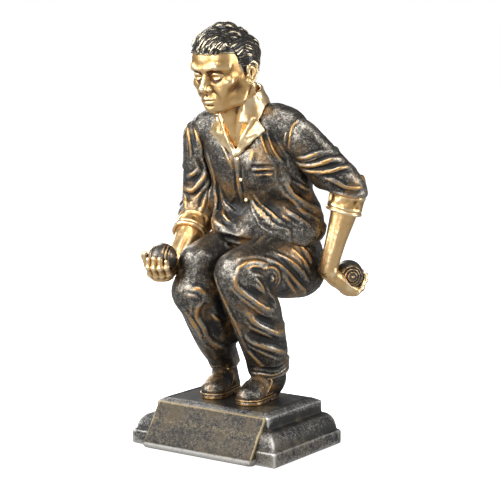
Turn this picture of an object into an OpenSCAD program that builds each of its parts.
// Figure trophy: a crouching boules player in cold-cast resin on a stepped plinth.
// Z is up, the figure faces -Y, and the origin is the centre of the underside. Millimetres.

/* [Plinth] */
// Width of the plinth's foot, side to side
plinth_w = 96; // [90:1:104]
// Depth of the plinth's foot, front to back
plinth_d = 66; // [62:1:72]
// Height of the surface that the shoes stand on
plinth_h = 26; // [24:0.5:28]
// Height of the square-edged foot under the moulding
foot_h = 8.6; // [7:0.2:10]
// Height where the moulding meets the top slab
slab_z = 17.4; // [16:0.2:18]
// Width of the top slab
slab_w = 75.2; // [72:0.4:78]
// Depth of the top slab
slab_d = 52.8; // [50:0.4:55]
// How far the top slab sits behind the foot's centre
slab_back = 2.6; // [1:0.2:4]
// Width of the sloped edge round the top
edge_run = 3.6; // [2:0.2:4]
// Drop of the sloped edge round the top
edge_drop = 1.9; // [1:0.1:2.4]

/* [Inscription panel] */
// Width of the sloped panel
panel_w = 72; // [68:1:74]
// Length of the panel's face down its slope
panel_l = 27; // [25:0.5:27.5]
// Thickness of the panel
panel_t = 3.2; // [2.4:0.2:3.6]
// Slope of the panel below the horizontal, in degrees
panel_slope = 56; // [52:1:58]

/* [Figure] */
// Height of the bare head, chin to crown
head_h = 43; // [41:0.5:45]
// Diameter of a boule
boule_d = 16.2; // [15:0.1:16.4]
// Length of a shoe
shoe_l = 33; // [31:0.5:34]
// Greatest width of a shoe
shoe_w = 15.4; // [14:0.2:16]
// Thickness of a shoe's sole
sole_t = 2.8; // [2:0.2:3.4]

/* [Fixings] */
// Diameter of the steel dowels in the legs, waist and neck
dowel_d = 4; // [3:0.5:5]
// Diameter of the steel pins in the arms and hands
pin_d = 2; // [1.5:0.5:2.5]
// Thickness of the felt pad
felt_t = 1.2; // [0.8:0.2:2]
// How far the felt pad stands out below the plinth
felt_proud = 0.4; // [0.2:0.1:0.6]

/* [Hidden] */

RESIN = "dimgray";
GOLD = "darkgoldenrod";
STEEL = "silver";
FELT = "darkgreen";

eps = 0.01;
fine = 64;            // $fn of true cylinders
smooth = 20;          // $fn of modelled resin forms
fit = 0.06;           // radial room for glue round a dowel

// Where the figure's joints are: x, y, and height above the plinth.
function on_plinth(x, y, up) = [x, y, plinth_h + up];

ankle_l = on_plinth(13, 12.5, 15);
calf_l = on_plinth(14, 7.5, 28);
shin_l = on_plinth(14.6, 2, 39);
knee_back_l = on_plinth(15, -4, 51);
knee_l = on_plinth(16, -21, 73.5);
hip_l = on_plinth(15, 32, 78);
ankle_r = on_plinth(-15, 11.5, 16.5);
calf_r = on_plinth(-14.4, 1.5, 28.5);
shin_r = on_plinth(-13.7, -4, 38);
knee_back_r = on_plinth(-13, -11, 50);
knee_r = on_plinth(-12, -20, 63);
hip_r = on_plinth(-10, 32, 78);
seat = on_plinth(2.5, 36, 76);
waist = on_plinth(3, 27, 100);
shoulder_l = on_plinth(33, 14, 146);
elbow_l = on_plinth(50, 32, 117);
wrist_l = on_plinth(43, 30, 71);
shoulder_r = on_plinth(-29, 10, 143);
elbow_r = on_plinth(-35.5, 16, 103);
wrist_r = on_plinth(-28, -17.5, 75.5);
boule_at_l = on_plinth(44.5, 45, 67.5);
boule_at_r = on_plinth(-25, -33.5, 80);
neck_base = on_plinth(3, 3, 152);
head_at = on_plinth(1.5, -13.5, 181);
head_pitch = 12;      // degrees that the face looks down
head_yaw = -4;        // degrees that the face turns to the figure's right
shoe_at_l = on_plinth(13.2, 1.5, 0);
shoe_at_r = on_plinth(-13.4, 3.2, 0);
shoe_turn_l = 3;
shoe_turn_r = 10;
dowel_r = dowel_d / 2;
pin_r = pin_d / 2;
leg_dowel_top = 20;   // above the plinth
leg_dowel_base = 6;   // above the table
boule_r = boule_d / 2;

function mid(a, b, t) = a + (b - a) * t;
function unit(v) = v / norm(v);

// ---------- shared shapes ----------

// An ellipsoid: centre, radii, turn.
module egg(at, radii, turn = [0, 0, 0]) {
    hull() translate(at) rotate(turn) scale(radii) sphere(r = 1, $fn = smooth);
}

// Spheres joined into a limb: each station is [centre, radius].
module limb(stations) {
    for (i = [0 : len(stations) - 2])
        hull() {
            translate(stations[i][0]) sphere(r = stations[i][1], $fn = smooth);
            translate(stations[i + 1][0]) sphere(r = stations[i + 1][1], $fn = smooth);
        }
}

// A cylinder from one point to another.
module rod(from, to, r, sides = fine) {
    v = to - from;
    translate(from)
        rotate([0, acos(v.z / norm(v)), atan2(v.y, v.x)])
            cylinder(h = norm(v), r = r, $fn = sides);
}

// A hole for a dowel, wide enough that its flats clear the dowel.
module socket(from, to, r) {
    sides = 24;
    rod(from, to, (r + fit) / cos(180 / sides), sides);
}

// ---------- plinth ----------

// One side of the stepped outline, bottom to top: half-size of the foot and of the slab.
function stepped_side(foot, slab) =
    let (bevel = 0.8, land = 1.8, fillet = 1.2,
         rx = foot - land - slab - fillet, rz = slab_z - foot_h)
    concat(
        [[foot, felt_proud], [foot, foot_h - bevel], [foot - bevel, foot_h]],
        [for (a = [0 : 10 : 90]) [slab + fillet + rx * cos(a), foot_h + rz * sin(a)]],
        [[slab, slab_z], [slab, plinth_h - edge_drop], [slab - edge_run, plinth_h]]
    );
function flipped(points) = [for (i = [len(points) - 1 : -1 : 0]) [-points[i].x, points[i].y]];

// The mitred moulding: the front outline and the side outline cut each other.
module stepped_block() {
    sides = stepped_side(plinth_w / 2, slab_w / 2);
    front = stepped_side(plinth_d / 2, slab_d / 2 - slab_back);
    back = stepped_side(plinth_d / 2, slab_d / 2 + slab_back);
    intersection() {
        rotate([90, 0, 0])
            linear_extrude(height = plinth_d + 2, center = true)
                polygon(concat(sides, flipped(sides)));
        rotate([90, 0, 90])
            linear_extrude(height = plinth_w + 2, center = true)
                polygon(concat(back, flipped(front)));
    }
}

felt_w = plinth_w - 6;
felt_d = plinth_d - 6;

module rounded_plate(w, d, h, r) {
    linear_extrude(height = h)
        union() {
            square([w - 2 * r, d], center = true);
            square([w, d - 2 * r], center = true);
            for (x = [-1, 1], y = [-1, 1])
                translate([x * (w / 2 - r), y * (d / 2 - r)]) circle(r = r, $fn = fine);
        }
}

module felt_pad() color(FELT) rounded_plate(felt_w, felt_d, felt_t, 3);

module plinth() color(RESIN)
    difference() {
        stepped_block();
        translate([0, 0, -eps]) rounded_plate(felt_w + 0.2, felt_d + 0.2, felt_t + eps, 3.1);
        for (a = [ankle_l, ankle_r])
            translate([a.x, a.y, leg_dowel_base]) cylinder(h = plinth_h, r = dowel_r + fit, $fn = fine);
    }

// ---------- inscription panel ----------

slab_front = -(slab_d / 2 - slab_back);
panel_top = [0, slab_front - 0.2, plinth_h - 1.4];      // top edge of the panel's face
panel_bevel = 0.5;
rib_t = 5;
rib_x = 22;

module panel_slab() {
    translate(panel_top) rotate([panel_slope, 0, 0])
        translate([-panel_w / 2, -panel_l, -panel_t]) {
            cube([panel_w, panel_l, panel_t - panel_bevel]);
            hull() {
                translate([0, 0, panel_t - panel_bevel - eps]) cube([panel_w, panel_l, eps]);
                translate([panel_bevel, panel_bevel, panel_t - eps])
                    cube([panel_w - 2 * panel_bevel, panel_l - 2 * panel_bevel, eps]);
            }
        }
}

// A rib behind the panel, cut to its slope.
module panel_rib(x) {
    top = panel_top.z - panel_t / cos(panel_slope) + 0.4;
    run = (top - 4) / tan(panel_slope);
    translate([x + rib_t / 2, 0, 0]) rotate([90, 0, -90])
        linear_extrude(height = rib_t)
            polygon([[-panel_top.y, top], [-panel_top.y + run, 4], [-panel_top.y, 4]]);
}

module inscription_panel() color(RESIN)
    difference() {
        union() {
            panel_slab();
            panel_rib(-rib_x);
            panel_rib(rib_x);
        }
        stepped_block();
    }

// ---------- shoes ----------

// A shoe with its toe towards -Y, standing on z = 0, its heel lifted by heel_up.
module shoe_form(heel_up) {
    ball_y = -shoe_l / 2 + shoe_w / 2;
    heel_y = shoe_l / 2 - shoe_w * 0.4;
    hull() {
        translate([0, ball_y, 0]) cylinder(h = sole_t, r = shoe_w / 2, $fn = 32);
        translate([0, 0, 0]) cylinder(h = sole_t, r = shoe_w * 0.42, $fn = 32);
    }
    hull() {
        translate([0, 0, 0]) cylinder(h = sole_t, r = shoe_w * 0.42, $fn = 32);
        translate([0, heel_y, heel_up]) cylinder(h = sole_t, r = shoe_w * 0.4, $fn = 32);
    }
    hull() {
        translate([0, ball_y + 1.4, sole_t + 1]) sphere(r = shoe_w * 0.42, $fn = 24);
        translate([0, 1, sole_t + 5]) sphere(r = shoe_w * 0.38, $fn = 24);
    }
    hull() {
        translate([0, 1, sole_t + 5]) sphere(r = shoe_w * 0.38, $fn = 24);
        translate([0, heel_y - 1, sole_t + heel_up + 5.5]) sphere(r = shoe_w * 0.38, $fn = 24);
        translate([0, heel_y, sole_t + heel_up]) cylinder(h = 2, r = shoe_w * 0.38, $fn = 24);
    }
}

module shoe(at, turn, heel_up, dowel_at) {
    difference() {
        translate(at) rotate([0, 0, turn]) shoe_form(heel_up);
        translate([-60, -60, plinth_h - 10]) cube([120, 120, 10]);
        legs_form();
        socket([dowel_at.x, dowel_at.y, plinth_h - 1], [dowel_at.x, dowel_at.y, plinth_h + 25], dowel_r);
    }
}

module shoe_left() color(RESIN) shoe(shoe_at_l, shoe_turn_l, 1.5, ankle_l);
module shoe_right() color(RESIN) shoe(shoe_at_r, shoe_turn_r, 1, ankle_r);

// ---------- trousers ----------

// A trouser leg through its stations, with a flat-bottomed hem at the ankle.
module leg_form(ankle, ankle_r, stations) {
    hull() {
        translate(ankle) scale([1, 1, 0.2]) sphere(r = ankle_r, $fn = smooth);
        translate(stations[0][0]) sphere(r = stations[0][1], $fn = smooth);
    }
    limb(stations);
}

module legs_form() {
    leg_form(ankle_l, 11, [[calf_l, 12.6], [shin_l, 13.6], [knee_back_l, 14.6], [knee_l, 13],
                           [mid(knee_l, hip_l, 0.5), 15.4], [hip_l, 18]]);
    leg_form(ankle_r, 8, [[calf_r, 10.2], [shin_r, 12], [knee_back_r, 13.2], [knee_r, 12.8],
                          [mid(knee_r, hip_r, 0.5), 14.4], [hip_r, 18]]);
}

module trousers() color(RESIN)
    difference() {
        union() {
            legs_form();
            hull() {
                egg(seat, [26, 18, 22]);
                egg(mid(seat, waist, 0.7), [24, 17, 14]);
            }
        }
        for (a = [ankle_l, ankle_r])
            socket([a.x, a.y, plinth_h], [a.x, a.y, plinth_h + 40], dowel_r);
        socket(mid(seat, waist, 0.2), mid(seat, waist, 3), dowel_r);
    }

// ---------- shirt ----------

// Cross-sections up the torso: [x, y, height above the plinth, half-width, half-depth, turn].
TORSO = [
    [2.5, 35, 82, 27.5, 20.5, 0],
    [2.5, 34, 90, 28.5, 21, 0],
    [2.6, 31, 98, 29, 21.5, 1],
    [2.6, 26, 109, 29.5, 21, 3],
    [2.6, 19.5, 120, 30, 20.5, 5],
    [2.6, 13.5, 132, 30, 19, 7],
    [2.8, 11, 142, 30, 16, 9]
];
yoke_r = on_plinth(-18, 9.5, 147);
yoke_l = on_plinth(20, 9, 153.5);
yoke_d = 20;

module torso_ring(s) {
    translate(on_plinth(s[0], s[1], s[2])) rotate([0, 0, s[5]])
        linear_extrude(height = eps) scale([s[3], s[4]]) circle(r = 1, $fn = 32);
}

module torso_form() {
    for (i = [0 : len(TORSO) - 2])
        hull() {
            torso_ring(TORSO[i]);
            torso_ring(TORSO[i + 1]);
        }
    hull() {
        torso_ring(TORSO[len(TORSO) - 1]);
        translate(yoke_r) sphere(d = yoke_d, $fn = smooth);
        translate(yoke_l) sphere(d = yoke_d, $fn = smooth);
    }
    limb([[yoke_l, yoke_d / 2], [mid(yoke_l, shoulder_l, 0.45), 11]]);
}

neck_r = 9.2;
neck_top = mid(neck_base, head_at, 0.5);

module neck_form() {
    hull() {
        translate(neck_base - [0, 0, 8]) sphere(r = neck_r, $fn = smooth);
        translate(neck_top) sphere(r = neck_r - 0.6, $fn = smooth);
    }
}

module shirt_body() color(RESIN)
    difference() {
        torso_form();
        legs_form();
        hull() {
            egg(seat, [26, 18, 22]);
            egg(mid(seat, waist, 0.7), [24, 17, 14]);
        }
        neck_form();
        socket(mid(seat, waist, 0.2), mid(seat, waist, 1.6), dowel_r);
        socket(neck_base - [0, 0, 26], neck_base, dowel_r);
        arm_pin_holes();
    }

button_r = 1.1;
// Front of the chest at a height above the plinth, read off the cross-sections.
function front_at(up) =
    let (i = max([for (k = [0 : len(TORSO) - 2]) if (TORSO[k][2] <= up) k]),
         t = (up - TORSO[i][2]) / (TORSO[i + 1][2] - TORSO[i][2]),
         s = mid(TORSO[i], TORSO[i + 1], t))
    on_plinth(s[0] + s[4] * sin(s[5]), s[1] - s[4] * cos(s[5]), up);

module shirt_placket_buttons() color(GOLD)
    for (up = [98, 110, 121.5, 133])
        translate(front_at(up)) rotate([90, 0, 5])
            cylinder(h = 1.2, r = button_r, $fn = fine);

collar_at = neck_base + [0.5, 1, 5];
collar_h = 14;
collar_tilt = [20, 0, 6];
collar_t = 1.2;

// The points of the open collar: where it meets at the front, each wing's tip and its root.
collar_v = front_at(135.5) - [0, 0.4, 0];
wing_tips = [[16.5, 0.5, plinth_h + 150], [-12, -4, plinth_h + 148.5]];
wing_roots = [[13.5, -4.5, plinth_h + 156], [-8, -6.5, plinth_h + 154.5]];

module collar_wing(i)
    hull()
        for (p = [collar_v, wing_tips[i], wing_roots[i]])
            translate(p) sphere(r = collar_t, $fn = 16);

module shirt_collar() color(GOLD)
    difference() {
        union() {
            translate(collar_at) rotate(collar_tilt)
                cylinder(h = collar_h, r1 = 15.6, r2 = 11.4, $fn = 32);
            collar_wing(0);
            collar_wing(1);
        }
        torso_form();
        neck_form();
        head_form();
        hair_form();
        translate(collar_at - [0, 0, 2]) rotate(collar_tilt)
            cylinder(h = collar_h + 4, r1 = 11, r2 = 10.2, $fn = 32);
        translate(neck_base + [-12, -40, -30]) cube([24, 28, 90]);
    }

// ---------- arms ----------

sleeve_end_l = mid(elbow_l, wrist_l, 0.10);
cuff_end_l = mid(elbow_l, wrist_l, 0.36);
sleeve_end_r = mid(elbow_r, wrist_r, 0.16);
cuff_end_r = mid(elbow_r, wrist_r, 0.42);

module sleeve_left() color(RESIN)
    difference() {
        limb([[shoulder_l, 13], [mid(shoulder_l, elbow_l, 0.5), 12.6], [elbow_l, 12],
              [sleeve_end_l, 10.8]]);
        torso_form();
        cuff_form(sleeve_end_l, cuff_end_l);
        forearm_form(elbow_l, wrist_l);
        arm_pin_holes();
    }

module sleeve_right() color(RESIN)
    difference() {
        limb([[shoulder_r, 12.4], [mid(shoulder_r, elbow_r, 0.5), 11.6], [elbow_r, 11.4],
              [sleeve_end_r, 10.6]]);
        torso_form();
        legs_form();
        cuff_form(sleeve_end_r, cuff_end_r);
        forearm_form(elbow_r, wrist_r);
        arm_pin_holes();
    }

module cuff_form(from, to) rod(from, to, 9.8, 32);

module cuff(from, to, elbow, wrist) {
    difference() {
        cuff_form(from, to);
        forearm_form(elbow, wrist);
        legs_form();
        torso_form();
    }
}

module cuff_left() color(GOLD) cuff(sleeve_end_l, cuff_end_l, elbow_l, wrist_l);
module cuff_right() color(GOLD) cuff(sleeve_end_r, cuff_end_r, elbow_r, wrist_r);

module forearm_form(elbow, wrist)
    limb([[mid(elbow, wrist, 0.12), 7.8], [mid(elbow, wrist, 0.5), 7.2], [wrist, 5.2]]);

module forearm(elbow, wrist) {
    difference() {
        forearm_form(elbow, wrist);
        legs_form();
        arm_pin_holes();
        hand_pin_holes();
    }
}

module forearm_left() color(GOLD) forearm(elbow_l, wrist_l);
module forearm_right() color(GOLD) forearm(elbow_r, wrist_r);

// The middle of the palm that holds a boule up.
function palm_under(boule) = boule - [0, 0, boule_r + 1.6];

// A hand under a boule: palm, four fingers curled up past the boule, and a thumb.
// ahead points from the wrist along the fingers, and across points to the thumb's side.
module hand_form(wrist, boule, ahead, across) {
    palm = palm_under(boule);
    reach = boule_r + 1.7;
    hull() {
        translate(mid(wrist, palm, 0.2)) sphere(r = 4.6, $fn = 16);
        translate(palm - across * 2.4 - ahead * 2) sphere(r = 3.4, $fn = 16);
        translate(palm + across * 2.8 - ahead * 2) sphere(r = 3.4, $fn = 16);
    }
    hull() {
        translate(palm - across * 3.4 + ahead * 2) sphere(r = 2.5, $fn = 16);
        translate(palm + across * 3.4 + ahead * 2) sphere(r = 2.5, $fn = 16);
        translate(palm - ahead * 2) sphere(r = 3.4, $fn = 16);
    }
    for (i = [-1.5 : 1 : 1.5]) {
        root = palm + across * i * 3 + ahead * 3;
        bend = boule + across * i * 3 + ahead * reach * 0.86 - [0, 0, reach * 0.62];
        tip = boule + across * i * 2.7 + ahead * reach * 1.12 + [0, 0, 1.5];
        limb_thin([[root, 1.9], [bend, 1.75], [tip, 1.45]]);
    }
    limb_thin([[mid(wrist, palm, 0.5), 2.4],
               [boule + across * reach * 0.92 - [0, 0, reach * 0.5], 2],
               [boule + across * reach * 1.05 + ahead * 2 + [0, 0, 2], 1.7]]);
}

module limb_thin(stations) {
    for (i = [0 : len(stations) - 2])
        hull() {
            translate(stations[i][0]) sphere(r = stations[i][1], $fn = 12);
            translate(stations[i + 1][0]) sphere(r = stations[i + 1][1], $fn = 12);
        }
}

ahead_l = unit([0.05, 1, 0]);
ahead_r = unit([0.12, -1, 0]);

module hand_left() color(GOLD)
    difference() {
        hand_form(wrist_l, boule_at_l, ahead_l, [-1, 0, 0]);
        translate(boule_at_l) sphere(r = boule_r + 0.05, $fn = 48);
        forearm_form(elbow_l, wrist_l);
        hand_pin_holes();
    }

module hand_right() color(GOLD)
    difference() {
        hand_form(wrist_r, boule_at_r, ahead_r, [-1, 0, 0]);
        translate(boule_at_r) sphere(r = boule_r + 0.05, $fn = 48);
        forearm_form(elbow_r, wrist_r);
        legs_form();
        hand_pin_holes();
    }

groove = 0.35;

// A boule with two machined grooves at right angles.
module boule(at, turn) {
    translate(at) rotate(turn)
        difference() {
            sphere(r = boule_r, $fn = fine);
            for (z = [-1.6, 1.6])
                translate([0, 0, z])
                    rotate_extrude($fn = fine)
                        translate([sqrt(boule_r * boule_r - z * z), 0]) circle(r = groove, $fn = 16);
        }
}

module boule_left() color(RESIN) boule(boule_at_l, [55, 0, 35]);
module boule_right() color(RESIN) boule(boule_at_r, [0, 80, 20]);

// ---------- head ----------

head_turn = [head_pitch, 0, head_yaw];

module head_form() {
    translate(head_at) rotate(head_turn) {
        egg([0, 3, 5], [15.6, 18.4, 16.6]);
        hull() {
            egg([0, -4, 4], [13, 13, 12]);
            egg([0, -8.6, -17], [6.4, 6, 4.6]);
            egg([0, -3, -11], [10.4, 9, 7]);
        }
        hull() {
            egg([0, -17.2, 3], [1.6, 1.2, 2]);
            egg([0, -19.4, -4], [2.6, 1.8, 1.8]);
            egg([0, -15, -3], [3.4, 2, 4]);
        }
        for (s = [-1, 1])
            egg([s * 15.4, 3, -3], [1.8, 3.2, 5.2], [0, 0, s * 12]);
    }
}

module chest_form() {
    hull() {
        translate(neck_base - [0, 2, 4]) sphere(r = 8, $fn = smooth);
        translate(front_at(141) + [0, 3.4, 0]) sphere(r = 2.4, $fn = smooth);
    }
}

module head() color(GOLD)
    difference() {
        union() {
            head_form();
            neck_form();
            chest_form();
        }
        socket(neck_base - [0, 0, 20], neck_top, dowel_r);
    }

module hair_form() {
    translate(head_at) rotate(head_turn) {
        egg([0, 4.4, 8], [17.2, 18.6, 15.6]);
        hull() {
            egg([-4, -11, 15.5], [7.5, 6.6, 5]);
            egg([6, -10.6, 16], [7, 6, 5]);
            egg([0, 3, 16], [12, 11, 8]);
        }
        hull() {
            egg([0, 9, 2], [14.6, 12.8, 10]);
            egg([0, 13, -8], [10.5, 7, 7]);
        }
        for (s = [-1, 1]) {
            egg([s * 15.2, -3, 5], [1.8, 3, 6]);
            egg([s * 14.6, -4.6, -1], [1.5, 1.8, 4]);
        }
    }
}

module hair() color(RESIN)
    difference() {
        hair_form();
        head_form();
        neck_form();
        translate(head_at) rotate(head_turn) {
            for (s = [-1, 1]) egg([s * 16.6, 3, -2], [4, 4.6, 6.6], [0, 0, s * 12]);
            translate([-14, -40, -40]) cube([28, 28, 51]);
        }
    }

// ---------- dowels and pins ----------

module leg_dowels() color(STEEL)
    for (a = [ankle_l, ankle_r])
        translate([a.x, a.y, leg_dowel_base]) cylinder(h = plinth_h - leg_dowel_base + leg_dowel_top, r = dowel_r, $fn = fine);

module waist_dowel() color(STEEL) rod(mid(seat, waist, 0.25), mid(seat, waist, 1.55), dowel_r);
module neck_dowel() color(STEEL) rod(neck_base - [0, 0, 19], neck_base + [0, 0, 1], dowel_r);

arm_pin_ends = [
    [mid(shoulder_l, [4, 11, shoulder_l.z], 0.5), mid(shoulder_l, elbow_l, 0.3)],
    [mid(shoulder_r, [4, 11, shoulder_r.z], 0.5), mid(shoulder_r, elbow_r, 0.2)],
    [mid(elbow_l, shoulder_l, 0.1), mid(elbow_l, wrist_l, 0.4)],
    [mid(elbow_r, shoulder_r, 0.15), mid(elbow_r, wrist_r, 0.4)]
];
hand_pin_ends = [
    for (hand = [[wrist_l, boule_at_l], [wrist_r, boule_at_r]])
        [mid(hand[0], palm_under(hand[1]), -0.1), mid(hand[0], palm_under(hand[1]), 0.7)]
];

module pin_holes(ends) {
    for (e = ends) {
        run = unit(e[1] - e[0]) * 0.4;
        socket(e[0] - run, e[1] + run, pin_r);
    }
}
module arm_pin_holes() pin_holes(arm_pin_ends);
module hand_pin_holes() pin_holes(hand_pin_ends);

module arm_pins() color(STEEL)
    for (e = arm_pin_ends) rod(e[0], e[1], pin_r);
module hand_pins() color(STEEL)
    for (e = hand_pin_ends) rod(e[0], e[1], pin_r);

felt_pad();
plinth();
inscription_panel();
shoe_left();
shoe_right();
trousers();
shirt_body();
shirt_placket_buttons();
shirt_collar();
sleeve_left();
sleeve_right();
cuff_left();
cuff_right();
forearm_left();
forearm_right();
hand_left();
hand_right();
boule_left();
boule_right();
head();
hair();
leg_dowels();
waist_dowel();
neck_dowel();
arm_pins();
hand_pins();
